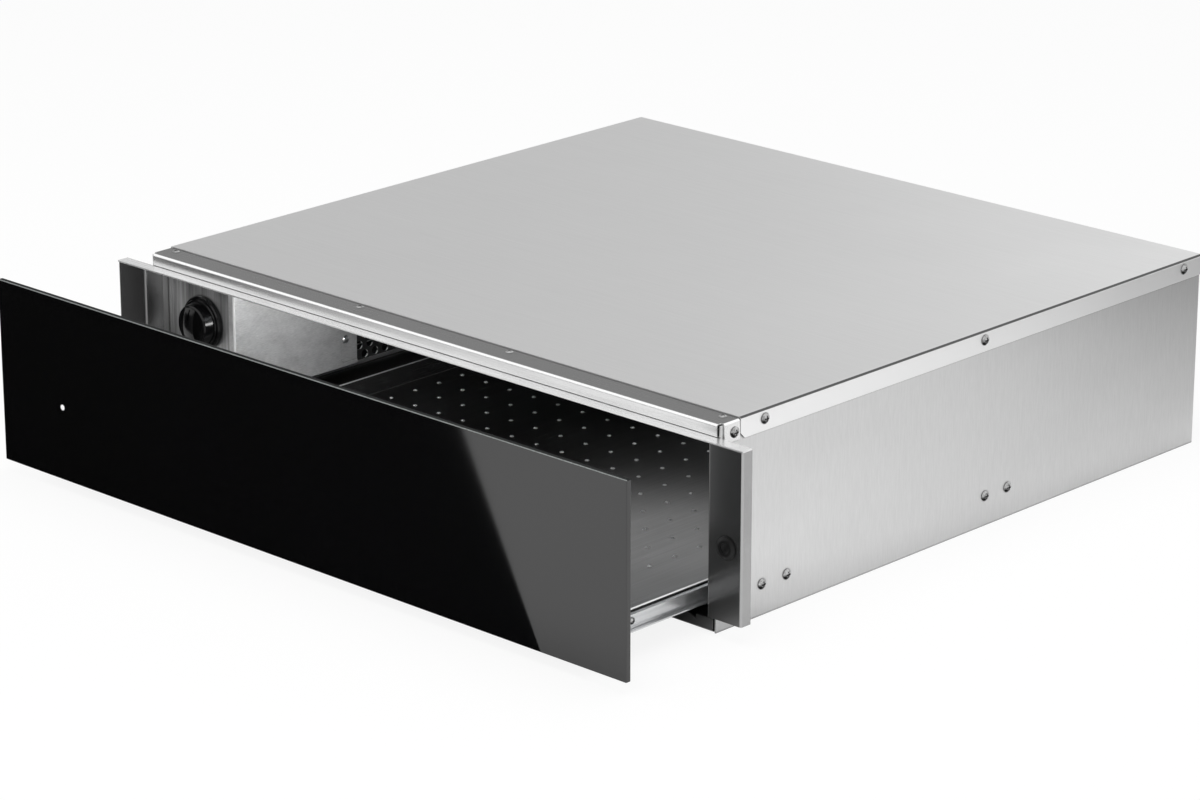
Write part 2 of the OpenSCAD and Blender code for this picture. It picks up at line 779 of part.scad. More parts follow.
module wire_loom() color([0.85, 0.85, 0.83]) {
    wire([[loom_x, loom_rise_y, control_foot + 12], [loom_x, loom_rise_y, loom_z],
          [loom_x, rear_y - 44, loom_z], [inlet_x - 11, rear_y - 34, inlet_z - 36],
          [inlet_x - 11, rear_y - 13, inlet_z - 36]], loom_r);
    for (y = [fan_y - 100, fan_y, fan_y + 100]) translate([-side_in, y - 4, loom_z - loom_r - 0.5])
        cube([loom_x + side_in, 8, 2 * loom_r + 1]);
}

// ---- telescopic slides ----

// A C with its open side to the left, drawn about its own mid height
module c_profile(w, h) {
    translate([0, -h / 2]) folded([w - fold_o, h - 2 * fold_o, w - fold_o], [1, 1]);
}

module slide_outer() color(zinc) difference() {
    along_y(slide_front, slide_front + slide_l)
        translate([side_in - outer_w, slide_z]) c_profile(outer_w, outer_h);
    for (y = runner_screw_y) screw_hole(y, runner_screw_z);
}

module slide_inner() color(steel_bright) drawer() difference() {
    along_y(inner_front, inner_front + slide_l)
        translate([tray_half + inner_w, slide_z]) mirror([1, 0]) c_profile(inner_w, inner_h);
    tray_screw_holes();
}

module tray_screw_holes() {
    for (y = tray_screw_y) facing_right(tray_half - 3, tray_front + y, slide_z)
        cylinder(h = 6, r = 1.5 + gap);
}

// A U-shaped retainer around the inner member, with its two rows of balls
module ball_cage() color([0.9, 0.9, 0.9]) translate([0, -rest_open / 2, 0]) {
    ball_z = inner_h / 2 + ball_gap / 2;
    web_x = tray_half + inner_w + 0.6;
    open_x = side_in - outer_w;
    for (s = [-1, 1]) {
        translate([open_x, cage_start, slide_z + s * ball_z - cage_t / 2])
            cube([web_x + cage_t - open_x, cage_l, cage_t]);
        for (y = [ball_pitch / 2 : ball_pitch : cage_l])
            translate([tray_half + inner_w - ball_d / 2, cage_start + y, slide_z + s * ball_z])
                sphere(d = ball_d);
    }
    translate([web_x, cage_start, slide_z - ball_z]) cube([cage_t, cage_l, 2 * ball_z]);
}

module slide_outer_right() slide_outer();
module slide_outer_left() mirrored() slide_outer();
module slide_inner_right() slide_inner();
module slide_inner_left() mirrored() slide_inner();
module ball_cage_right() ball_cage();
module ball_cage_left() mirrored() ball_cage();

// ---- touch latch ----

module latch_body() color(plastic_black) difference() {
    union() {
        translate([-latch_w / 2, latch_front, latch_z - 11])
            cube([latch_w, rear_y - latch_front, 22]);
        along_y(rear_y - 3, rear_y) translate([0, latch_z])
            square([latch_w + 22, 16], center = true);
    }
    facing_back(0, latch_front - 1, latch_z)
        cylinder(h = plunger_end + plunger_travel + 2 - latch_front, d = plunger_d + 2 * shaft_gap);
    latch_screw_holes();
}

module latch_screw_holes() {
    for (x = [-1, 1] * (latch_w / 2 + 5))
        facing_back(x, rear_y - 4, latch_z) cylinder(h = 6, r = screw_r + gap);
}

module latch_plunger() color(steel_bright) facing_back(0, plunger_tip, latch_z) {
    cylinder(h = 1.5, d1 = plunger_d - 2, d2 = plunger_d);
    translate([0, 0, 1.5]) cylinder(h = plunger_end - plunger_tip - 1.5, d = plunger_d);
}

module latch_striker() color(zinc) drawer()
    along_y(tray_end, tray_end + striker_t) translate([0, tray_rim - 7])
        square([20, 12], center = true);

// ---- drawer ----

module glass_front() color([0.02, 0.02, 0.03]) drawer() {
    ease = 0.5;
    corner = 1.5;
    intersection() {
        along_x(-glass_w / 2, glass_w / 2)
            translate([glass_back - glass_t, glass_foot]) eased(glass_t, glass_h, ease);
        linear_z(0, cabinet_h)
            translate([-glass_w / 2, glass_back - glass_t]) eased(glass_w, glass_t, ease);
        along_y(glass_back - glass_t, glass_back)
            translate([-glass_w / 2, glass_foot]) eased(glass_w, glass_h, corner);
    }
}

module eased(w, h, c) {
    polygon([[c, 0], [w - c, 0], [w, c], [w, h - c], [w - c, h], [c, h], [0, h - c], [0, c]]);
}

module front_carrier() color(steel) drawer() difference() {
    along_y(carrier_front, carrier_back) frame_outline(0);
    along_y(carrier_front + sheet, carrier_back - sheet) frame_outline(sheet);
    along_y(carrier_front - 1, carrier_front + 2 * sheet) frame_outline(carrier_lip);
    facing_back(knob_x, carrier_back - 2 * sheet, knob_z) cylinder(h = 4, d = knob_d + 10);
    facing_back(lamp_x, carrier_back - 2 * sheet, lamp_z) cylinder(h = 4, r = 3 + gap);
    carrier_screw_holes(carrier_back - 3);
}

// The carrier's outline, drawn in by a margin
module frame_outline(margin) {
    translate([margin - carrier_half, carrier_foot + margin])
        square([2 * (carrier_half - margin), carrier_top - carrier_foot - 2 * margin]);
}

module carrier_screw_holes(y) {
    for (x = carrier_screw_x) facing_back(x, y, carrier_screw_z) cylinder(h = 6, r = 1.5 + gap);
}

module bonding_tape() color(plastic_black) drawer()
    along_y(glass_back, carrier_front) difference() {
        frame_outline(sheet);
        frame_outline(carrier_lip - sheet);
    }

module light_guide() color([0.95, 0.97, 1]) drawer() facing_back(lamp_x, glass_back, lamp_z) {
    cylinder(h = carrier_back - glass_back + 1.2, r = 3);
    translate([0, 0, carrier_back - glass_back]) cylinder(h = 1.2, r = 4.5);
}

// A trough outline with round lower corners
module basin(w, h, r) {
    translate([-w / 2, r]) square([w, h - r]);
    translate([r - w / 2, 0]) square([w - 2 * r, r + 1]);
    for (x = [r - w / 2, w / 2 - r]) translate([x, r]) circle(r = r);
}

module tray() color(steel) drawer() difference() {
    union() {
        difference() {
            along_y(tray_front, tray_end) translate([0, tray_z])
                basin(2 * tray_half, tray_h, tray_r + sheet);
            along_y(tray_front + sheet, tray_end - sheet) translate([0, tray_floor])
                basin(2 * (tray_half - sheet), tray_h, tray_r);
        }
        both_sides() translate([tray_half - 2 * sheet, tray_front, tray_rim - hem_h])
            cube([sheet + gap, tray_l, hem_h]);
    }
    both_sides() tray_screw_holes();
    carrier_screw_holes(tray_front - 3);
}

module tray_divider() color(steel) drawer() {
    foot = 20;
    along_y(floor_front, floor_end) {
        translate([divider_x - foot, tray_floor])
            folded([foot - fold_o, tray_rim - tray_floor - fold_o], [1]);
        translate([divider_x - 2 * sheet, tray_rim - hem_h]) square([sheet, hem_h]);
    }
}

module floor_plate() color(steel_dark) drawer() {
    first_x = floor_left + dimple_left;
    first_y = floor_front + dimple_front;
    columns = floor((floor_right - smooth_border - first_x) / dimple_across);
    rows = floor((floor_end - 12 - first_y) / dimple_along);
    linear_z(tray_floor, floor_z) translate([floor_left, floor_front])
        square([floor_right - floor_left, floor_end - floor_front]);
    for (i = [0 : columns], j = [0 : rows])
        translate([first_x + dimple_across * i, first_y + dimple_along * j, floor_z]) dimple();
}

module dimple() {
    r = (dimple_d * dimple_d / 4 + dimple_h * dimple_h) / (2 * dimple_h);
    rotate_extrude() intersection() {
        translate([0, dimple_h - r]) circle(r = r);
        translate([0, -0.2]) square([dimple_d, dimple_h + 0.2]);
    }
}

module front_brackets() color(zinc) drawer() both_sides() {
    plate_x = tray_half - 2 * sheet;
    y0 = tray_front + sheet;
    z0 = tray_z + 5;
    top = z0 + bracket_h;
    along_x(plate_x - sheet, plate_x) polygon([
        [y0, z0], [y0 + bracket_reach, z0], [y0 + bracket_reach, tray_rim + 3],
        [y0 + 6, control_foot - 2], [y0 + 4, top], [y0, top]
    ]);
    along_y(tray_front, tray_front + sheet)
        translate([plate_x - 14, tray_rim + run_gap]) square([14, top - tray_rim - run_gap]);
}

// ---- knob, lamp and fasteners ----

module control_knob() color(plastic_black) difference() {
    body_h = knob_depth - grip_h;
    r = knob_d / 2;
    facing_front(knob_x, fascia_y - run_gap, knob_z) {
        rotate_extrude() polygon([
            [0, 0], [r - 0.4, 0], [r, 0.6], [r, skirt_h - 0.8], [r - 0.8, skirt_h],
            [r - 1.8, skirt_h], [r - 1.8, skirt_h + 0.8], [r - 2.4, skirt_h + 1.4],
            [r - 3.4, skirt_h + 1.4], [r - 4.8, body_h - 1], [r - 5.8, body_h], [0, body_h]
        ]);
        intersection() {
            linear_extrude(body_h + grip_h) intersection() {
                circle(r = r - 6);
                square([grip_w, 2 * r], center = true);
            }
            translate([0, 0, knob_depth - 30]) sphere(r = 30);
        }
    }
    facing_front(knob_x, fascia_y + 1, knob_z) cylinder(h = 4.8, d = 18);
    facing_front(knob_x, fascia_y + 1, knob_z) cylinder(h = knob_depth - 4, d = spindle_d + 0.04);
    // pointer groove in the upper half of the grip
    translate([knob_x - 0.6, fascia_y - knob_depth - 1, knob_z + r / 4])
        cube([1.2, 3.2, r]);
}

module knob_spindle() color(steel_bright)
    facing_back(knob_x, fascia_y - knob_depth + 5.5, knob_z)
        cylinder(h = knob_depth + thermostat_d - 9, d = spindle_d);

module side_screw(x, y, z) {
    facing_right(x, y, z) pan_screw(head_r, head_h, screw_r, 2.6 * sheet);
}

module cover_screws() color(zinc) {
    both_sides() {
        for (y = cover_screw_y) side_screw(side_out + sheet, y, cover_screw_z);
        side_screw(side_out + sheet, tab_screw[0], tab_screw[1]);
    }
}

module rail_screws() color(zinc) for (x = rail_screw_x)
    translate([x, rail_screw_y, rail_top]) pan_screw(small_head_r + 0.6, small_head_h, screw_r, 3);

module runner_screws() color(zinc) both_sides() for (y = runner_screw_y)
    facing_right(side_out, y, runner_screw_z) pan_screw(head_r, head_h, screw_r, 2 * sheet + gap);

module rear_screws() color(zinc) {
    for (x = rear_screw_x) facing_back(x, body_d, cover_screw_z)
        pan_screw(head_r, head_h, screw_r, 3 * sheet);
    for (x = [-1, 1] * (latch_w / 2 + 5)) facing_back(x, rear_y + sheet, latch_z)
        pan_screw(head_r, head_h, screw_r, 4 * sheet);
}

module control_screws() color(zinc) for (z = control_screw_z)
    facing_right(cover_x + 2 * sheet - 0.3, control_screw_y, z)
        pan_screw(head_r - 0.7, head_h - 0.4, screw_r, 3 * sheet);

module tray_screws() color(zinc) drawer() both_sides() for (y = tray_screw_y)
    facing_right(tray_half + sheet, tray_front + y, slide_z)
        pan_screw(small_head_r, 1.7, 1.5, 2 * sheet + gap);

module carrier_screws() color(zinc) drawer() for (x = carrier_screw_x)
    facing_back(x, tray_front + sheet, carrier_screw_z)
        pan_screw(small_head_r + 0.5, 1.7, 1.5, 2 * sheet + 0.5);

base_pan();
side_panel_left();
side_panel_right();
rear_panel();
top_cover();
ceiling_lining();
insulation_mat();
front_rail();
frame_lip();
post_left();
post_right();
front_buffers();
control_box();
control_cover();
thermostat();
indicator_lamp();
air_wall();
duct_end();
fan_motor();
ring_heater();
thermal_cutout();
sensor_bulb();
terminal_block();
cable_gland();
wire_loom();
slide_outer_left();
slide_outer_right();
latch_body();
cover_screws();
rail_screws();
runner_screws();
rear_screws();
control_screws();
fan_shaft();
fan_wheel();
control_knob();
knob_spindle();
latch_plunger();
ball_cage_left();
ball_cage_right();
glass_front();
front_carrier();
bonding_tape();
light_guide();
tray();
tray_divider();
floor_plate();
front_brackets();
slide_inner_left();
slide_inner_right();
tray_screws();
carrier_screws();
latch_striker();
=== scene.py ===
import math

import bpy
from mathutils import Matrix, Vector


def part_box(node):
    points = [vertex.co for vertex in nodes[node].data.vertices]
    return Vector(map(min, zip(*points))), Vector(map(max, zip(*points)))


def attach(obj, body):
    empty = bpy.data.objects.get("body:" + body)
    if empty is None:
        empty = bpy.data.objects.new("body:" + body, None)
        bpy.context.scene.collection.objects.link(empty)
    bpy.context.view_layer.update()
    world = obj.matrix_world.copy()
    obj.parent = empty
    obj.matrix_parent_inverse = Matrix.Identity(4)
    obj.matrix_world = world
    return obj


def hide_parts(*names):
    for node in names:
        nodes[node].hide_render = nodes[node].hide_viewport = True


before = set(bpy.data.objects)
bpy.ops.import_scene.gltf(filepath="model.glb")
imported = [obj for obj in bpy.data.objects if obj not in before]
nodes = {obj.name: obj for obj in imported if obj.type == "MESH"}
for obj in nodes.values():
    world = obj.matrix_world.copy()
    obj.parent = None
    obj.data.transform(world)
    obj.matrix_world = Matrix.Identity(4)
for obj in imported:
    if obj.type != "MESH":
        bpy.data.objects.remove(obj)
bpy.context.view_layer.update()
mm = 0.001
print("frame loaded:", len(nodes), "CAD nodes")


def linearColour(hexText):  # an sRGB hex value as the linear colour that Blender wants
    parts = [int(hexText[i:i + 2], 16) / 255 for i in (0, 2, 4)]
    return (*[p / 12.92 if p <= 0.04045 else ((p + 0.055) / 1.055) ** 2.4 for p in parts], 1.0)


def addNode(tree, kind, settings=None, inputs=None, links=None):
    node = tree.nodes.new("ShaderNode" + kind)
    for name, value in (settings or {}).items():
        setattr(node, name, value)
    for name, value in (inputs or {}).items():
        node.inputs[name].default_value = value
    for name, socket in (links or {}).items():
        tree.links.new(socket, node.inputs[name])
    return node


def startMaterial(name, shaderValues):  # a bare shader and its output
    material = bpy.data.materials.new(name)
    material.use_nodes = True
    tree = material.node_tree
    tree.nodes.clear()
    shader = addNode(tree, "BsdfPrincipled", inputs=shaderValues)
    addNode(tree, "OutputMaterial", links={"Surface": shader.outputs["BSDF"]})
    return material, tree, shader


def setRamp(ramp, stops):  # stops are (place, hex colour) pairs
    while len(ramp.elements) < len(stops):
        ramp.elements.new(0.5)
    for element, (place, hexText) in zip(ramp.elements, stops):
        element.position = place
        element.color = linearColour(hexText)


def stretchedCoordinates(tree, sizes):  # sizes are a pattern's lengths along X, Y and Z in mm
    place = addNode(tree, "TexCoord")
    return addNode(tree, "Mapping", inputs={"Scale": [1 / (size * mm) for size in sizes]},
                   links={"Vector": place.outputs["Object"]}).outputs["Vector"]


def mixedTint(tree, tint, value, limits, shade):  # a shade that takes over between the limits
    amount = addNode(tree, "MapRange", inputs={"From Min": limits[0], "From Max": limits[1]},
                     links={"Value": value}).outputs["Result"]
    mixed = addNode(tree, "Mix", settings={"data_type": "RGBA"}, inputs={7: linearColour(shade)},
                    links={0: amount, 6: tint})
    return mixed.outputs[2], amount


def brushedSteel(name, look):
    material, tree, shader = startMaterial(name, {"Metallic": look.get("metallic", 1.0)})
    streaks = addNode(tree, "TexNoise", inputs={"Scale": 1.0, "Detail": 4.0, "Roughness": 0.65},
                      links={"Vector": stretchedCoordinates(tree, look["grain"])})
    clouds = addNode(tree, "TexNoise", inputs={"Scale": 1.0, "Detail": 3.0, "Roughness": 0.5},
                     links={"Vector": stretchedCoordinates(tree, look["clouds"])})
    both = addNode(tree, "Mix", settings={"data_type": "FLOAT"}, inputs={0: look["cloudShare"]},
                   links={2: streaks.outputs["Fac"], 3: clouds.outputs["Fac"]})
    colour = addNode(tree, "ValToRGB", links={"Fac": both.outputs[0]})
    setRamp(colour.color_ramp, [(0.3, look["deep"]), (0.7, look["pale"])])
    tint = colour.outputs["Color"]
    place = addNode(tree, "TexCoord")
    facing = place.outputs["Normal"]
    paintedAmounts = []
    if "turned" in look:  # faces that look this way get a colour of their own: a painted highlight in some finishes, a painted shade in others, standing for what they mirror
        towards = addNode(tree, "VectorMath", settings={"operation": "DOT_PRODUCT"},
                          inputs={1: look["towards"]}, links={0: facing}).outputs["Value"]
        if "above" in look:  # only those over this height, in mm
            height = addNode(tree, "SeparateXYZ", links={"Vector": place.outputs["Object"]})
            over = addNode(tree, "Math", settings={"operation": "GREATER_THAN"},
                           inputs={1: look["above"] * mm}, links={0: height.outputs["Z"]})
            towards = addNode(tree, "Math", settings={"operation": "MULTIPLY"},
                              links={0: towards, 1: over.outputs[0]}).outputs[0]
        tint, amount = mixedTint(tree, tint, towards, (0.75, 0.95), look["turned"])
        paintedAmounts.append(amount)
    if "fold" in look:  # folds and hole edges face no axis: painted bright as highlights in some finishes, painted dark as shade in others
        sides = addNode(tree, "VectorMath", settings={"operation": "ABSOLUTE"}, links={0: facing})
        split = addNode(tree, "SeparateXYZ", links={0: sides.outputs["Vector"]})
        wider = addNode(tree, "Math", settings={"operation": "MAXIMUM"},
                        links={0: split.outputs["X"], 1: split.outputs["Y"]})
        widest = addNode(tree, "Math", settings={"operation": "MAXIMUM"},
                         links={0: wider.outputs[0], 1: split.outputs["Z"]})
        tint, amount = mixedTint(tree, tint, widest.outputs[0],
                                 look.get("foldLimits", (0.985, 0.93)), look["fold"])
        paintedAmounts.append(amount)
    if "paintedMetallic" in look:  # under the painted highlights and shades the metal scatters light as well as mirroring it, so that their painted colour shows
        most = paintedAmounts[0]
        for other in paintedAmounts[1:]:
            most = addNode(tree, "Math", settings={"operation": "MAXIMUM"},
                           links={0: most, 1: other}).outputs[0]
        metallic = addNode(tree, "MapRange", links={"Value": most},
                           inputs={"To Min": look.get("metallic", 1.0), "To Max": look["paintedMetallic"]})
        tree.links.new(metallic.outputs["Result"], shader.inputs["Metallic"])
    seam = addNode(tree, "AmbientOcclusion", settings={"samples": 4},
                   inputs={"Distance": look.get("seam", 1.5) * mm}, links={"Color": tint})
    tint = seam.outputs["Color"]  # painted shade: colour darkened in seams and round screw heads
    rough = addNode(tree, "MapRange", links={"Value": both.outputs[0]},
                    inputs={"From Min": 0.3, "From Max": 0.7,
                            "To Min": look["roughness"][1], "To Max": look["roughness"][0]})
    edge = addNode(tree, "Bevel", settings={"samples": 4}, inputs={"Radius": look["edge"] * mm})
    bump = addNode(tree, "Bump", inputs={"Strength": look["bump"], "Distance": 0.05 * mm},
                   links={"Height": streaks.outputs["Fac"], "Normal": edge.outputs["Normal"]})
    tree.links.new(tint, shader.inputs["Base Color"])
    tree.links.new(rough.outputs["Result"], shader.inputs["Roughness"])
    tree.links.new(bump.outputs["Normal"], shader.inputs["Normal"])
    return material


def galvanisedSteel(name, look):
    material, tree, shader = startMaterial(name, {"Metallic": 1.0})
    spangle = addNode(tree, "TexVoronoi", inputs={"Scale": 1.0, "Randomness": 1.0},
                      links={"Vector": stretchedCoordinates(tree, look["spangle"])})
    dust = addNode(tree, "TexNoise", inputs={"Scale": 1.0, "Detail": 5.0},
                   links={"Vector": stretchedCoordinates(tree, look["dust"])})
    both = addNode(tree, "Mix", settings={"data_type": "FLOAT"}, inputs={0: 0.5},
                   links={2: spangle.outputs["Color"], 3: dust.outputs["Fac"]})
    colour = addNode(tree, "ValToRGB", links={"Fac": both.outputs[0]})
    setRamp(colour.color_ramp, [(0.25, look["deep"]), (0.75, look["pale"])])
    rough = addNode(tree, "MapRange", links={"Value": both.outputs[0]},
                    inputs={"To Min": look["roughness"][0], "To Max": look["roughness"][1]})
    bump = addNode(tree, "Bump", inputs={"Strength": 0.15, "Distance": 0.1 * mm},
                   links={"Height": spangle.outputs["Distance"]})
    tree.links.new(colour.outputs["Color"], shader.inputs["Base Color"])
    tree.links.new(rough.outputs["Result"], shader.inputs["Roughness"])
    tree.links.new(bump.outputs["Normal"], shader.inputs["Normal"])
    return material


def mouldedPart(name, look):
    material, tree, shader = startMaterial(name, look.get("shader", {}))
    grain = addNode(tree, "TexNoise", inputs={"Scale": 1.0, "Detail": 4.0, "Roughness": 0.6},
                    links={"Vector": stretchedCoordinates(tree, look["grain"])})
    colour = addNode(tree, "ValToRGB", links={"Fac": grain.outputs["Fac"]})
    setRamp(colour.color_ramp, [(0.3, look["deep"]), (0.7, look["pale"])])
    rough = addNode(tree, "MapRange", links={"Value": grain.outputs["Fac"]},
                    inputs={"To Min": look["roughness"][0], "To Max": look["roughness"][1]})
    bump = addNode(tree, "Bump", inputs={"Strength": look["bump"], "Distance": 0.1 * mm},
                   links={"Height": grain.outputs["Fac"]})
    tree.links.new(colour.outputs["Color"], shader.inputs["Base Color"])
    tree.links.new(rough.outputs["Result"], shader.inputs["Roughness"])
    tree.links.new(bump.outputs["Normal"], shader.inputs["Normal"])
    return material


# Stainless sheet and zinc-plated steel. Grit lines of 0.1 to 0.3 mm are drawn about three times
# as coarse so that they show. Sizes are a streak's lengths along X, Y and Z in mm.
brushedLooks = {
    # stainless sheet, matt rolled: pale even grey, only a wide soft sheen; its folds painted
    # darker as shade, its faces towards +X painted paler as a highlight
    "mattRolledSteel": {"pale": "e2e2e2", "deep": "dadada", "grain": (60, 0.9, 60),
                        "clouds": (180, 140, 180), "cloudShare": 0.5, "roughness": (0.34, 0.42),
                        "bump": 0.04, "edge": 0.3, "fold": "5c5c5c", "seam": 0.8,
                        "towards": (1, 0, 0), "turned": "f4f4f4"},
    # stainless sheet, belt-ground upright: short fine upright lines, half bright, faintly clouded
    "uprightBrushedSteel": {"pale": "dcdcdc", "deep": "cecece", "grain": (60, 0.9, 11),
                            "clouds": (100, 260, 90), "cloudShare": 0.45,
                            "roughness": (0.28, 0.36), "bump": 0.04, "edge": 0.3},
    # stainless strip, roll-formed: nearly white face, its bends painted white as highlights and
    # its top painted dark grey as a painted reflection
    "rollFormedSteel": {"pale": "f0f0f0", "deep": "dedede", "grain": (90, 1.2, 1.2),
                        "clouds": (60, 60, 60), "cloudShare": 0.4, "roughness": (0.2, 0.3),
                        "bump": 0.03, "edge": 0.4, "metallic": 0.85, "fold": "ffffff",
                        "towards": (0, 0, 1), "turned": "767676", "seam": 0.3},
    # the same strip, pale all round, its bends painted white as highlights
    "halfBrightStripSteel": {"pale": "f6f6f6", "deep": "e6e6e6", "grain": (90, 1.2, 1.2),
                             "clouds": (60, 60, 60), "cloudShare": 0.4,
                             "roughness": (0.2, 0.3), "bump": 0.03, "edge": 0.4,
                             "metallic": 0.75, "fold": "ffffff", "seam": 0.2},
    # stainless sheet: its front faces painted dark grey as a painted reflection, its returns pale
    "paintedDarkFrontSteel": {"pale": "b0b0b0", "deep": "9a9a9a", "grain": (0.8, 60, 80),
                         "clouds": (30, 60, 60), "cloudShare": 0.3, "roughness": (0.16, 0.24),
                         "bump": 0.04, "edge": 0.5, "metallic": 0.85, "fold": "b0b0b0",
                         "towards": (0, -1, 0), "turned": "6c6c6c"},
    # stainless sheet, hand-scrubbed: short crossing scratches, pale grey and mottled; its folds
    # painted white as highlights
    "scrubbedSteel": {"pale": "f2f2f2", "deep": "c0c0c0", "grain": (3, 4, 0.7),
                      "clouds": (12, 16, 8), "cloudShare": 0.45, "roughness": (0.34, 0.5),
                      "bump": 0.14, "edge": 0.4, "metallic": 0.5, "fold": "ffffff"},
    # stainless sheet, punched: dark grey face, its hole edges and folds painted bright as
    # highlights
    "punchedSteel": {"pale": "6c6c6c", "deep": "4c4c4c", "grain": (3, 8, 0.7),
                     "clouds": (20, 26, 16), "cloudShare": 0.45, "roughness": (0.26, 0.4),
                     "bump": 0.1, "edge": 0.3, "metallic": 0.8, "fold": "ffffff",
                     "paintedMetallic": 0.1},
    # stainless strip, polished upright: broad dark and pale bands at random, painted reflections
    "polishedStripSteel": {"pale": "e8e8e8", "deep": "585858", "grain": (1.2, 60, 80),
                           "clouds": (14, 60, 90), "cloudShare": 0.65,
                           "roughness": (0.18, 0.28), "bump": 0.06, "edge": 0.4,
                           "metallic": 0.5},
    # stainless sheet, deep-drawn: dark grey walls; rim tops over 30 mm and folds painted white as
    # highlights
    "drawnSteel": {"pale": "8c8c8c", "deep": "6c6c6c", "grain": (60, 90, 0.8),
                   "clouds": (60, 90, 40), "cloudShare": 0.4, "roughness": (0.2, 0.32),
                   "bump": 0.08, "edge": 0.4, "metallic": 0.85,
                   "towards": (0, 0, 1), "above": 30, "turned": "ffffff",
                   "fold": "ffffff", "paintedMetallic": 0.1},
    # stainless sheet, brushed lengthwise and dimpled: dark satin, the dimples' slopes and folds
    # painted white as highlights
    "dimpledSteel": {"pale": "727272", "deep": "5e5e5e", "grain": (0.8, 110, 60),
                     "clouds": (70, 120, 60), "cloudShare": 0.45, "roughness": (0.26, 0.36),
                     "bump": 0.05, "edge": 0.3, "metallic": 0.85, "fold": "ffffff",
                     "foldLimits": (0.997, 0.97), "paintedMetallic": 0.1, "seam": 0.1},
    # cold-rolled steel, bright zinc plated: clean bluish white, slightly streaked by the die
    "zincPlatedStrip": {"pale": "e6e7e8", "deep": "cacbcd", "grain": (60, 120, 1.5),
                        "clouds": (20, 70, 20), "cloudShare": 0.4, "roughness": (0.18, 0.28),
                        "bump": 0.04, "edge": 0.3, "metallic": 0.85},
    # steel screw, cold-headed and zinc plated: bright crown; its side towards (0.68, -0.46, -0.57)
    # painted black as a painted reflection, its cross darkened by painted shade
    "zincPlatedScrew": {"pale": "dcdcdc", "deep": "5c5c5c", "grain": (1.1, 1.1, 1.1),
                        "clouds": (3, 3, 3), "cloudShare": 0.5, "roughness": (0.1, 0.2),
                        "bump": 0.1, "edge": 0.2, "seam": 2.0,
                        "towards": (0.68, -0.46, -0.57), "turned": "141414"},
    # heater tube of alloy steel, oxidised by heat: brown black and rough
    "oxidisedTube": {"pale": "5e5852", "deep": "2f2b28", "grain": (3, 3, 3),
                     "clouds": (16, 16, 16), "cloudShare": 0.5, "roughness": (0.4, 0.6),
                     "bump": 0.2, "edge": 0.2},
    # copper capillary and bulb, drawn: warm and softly worn
    "drawnCopper": {"pale": "c98d68", "deep": "8f5a3c", "grain": (2, 30, 2), "clouds": (8, 20, 8),
                    "cloudShare": 0.5, "roughness": (0.24, 0.4), "bump": 0.08, "edge": 0.1},
}
